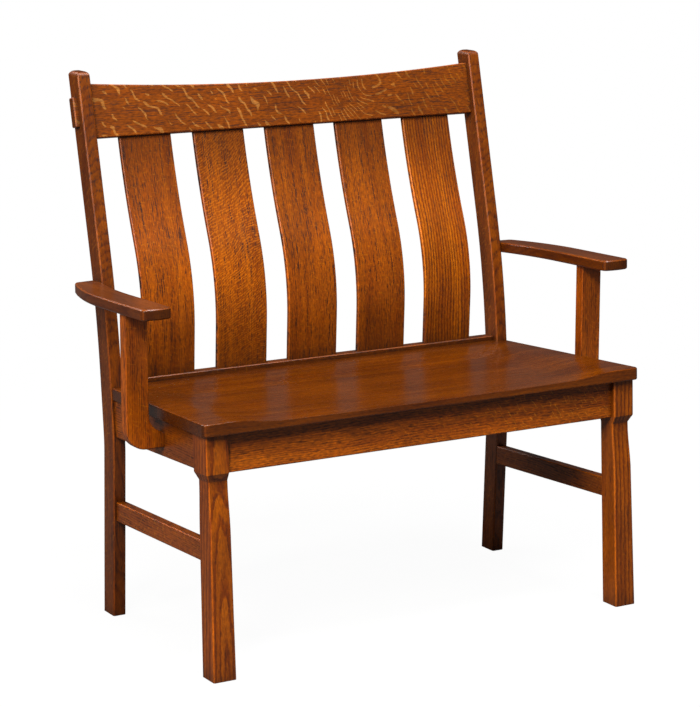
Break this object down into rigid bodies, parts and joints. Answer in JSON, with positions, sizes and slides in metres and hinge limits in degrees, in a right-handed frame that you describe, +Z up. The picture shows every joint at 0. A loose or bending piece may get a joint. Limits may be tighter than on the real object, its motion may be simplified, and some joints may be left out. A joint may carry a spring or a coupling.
{
  "type": "mission settle",
  "caption": "Two-seat oak settle with S-curved back slats, a scooped seat and open arms on flared posts.",
  "frame": {"origin": "on the floor, under the middle of the bench's overall box", "axes": "+X along the bench to the viewer's right, +Y to the back, +Z up"},
  "size_m": [1.029, 0.5834, 1.01],
  "materials": {
    "stained_oak": "quarter-sawn oak, stained red-brown, satin lacquer",
    "block_oak": "stained oak, sealed, not polished",
    "dowel_wood": "beech, bare",
    "screw_steel": "zinc-plated"
  },
  "bodies": {
    "root": {"arm_dowels": "dowel_wood", "arm_left": "stained_oak", "arm_post_left": "stained_oak", "arm_post_right": "stained_oak", "arm_post_screws": "screw_steel", "arm_right": "stained_oak", "back_apron": "stained_oak", "back_corner_block_left": "block_oak", "back_corner_block_right": "block_oak", "back_post_left": "stained_oak", "back_post_right": "stained_oak", "crest_rail": "stained_oak", "front_apron": "stained_oak", "front_corner_block_left": "block_oak", "front_corner_block_right": "block_oak", "front_leg_left": "stained_oak", "front_leg_right": "stained_oak", "lower_back_rail": "stained_oak", "seat": "stained_oak", "seat_screws": "screw_steel", "side_apron_left": "stained_oak", "side_apron_right": "stained_oak", "side_stretcher_left": "stained_oak", "side_stretcher_right": "stained_oak", "slat_1": "stained_oak", "slat_2": "stained_oak", "slat_3": "stained_oak", "slat_4": "stained_oak", "slat_5": "stained_oak"}
  },
  "joints": []
}
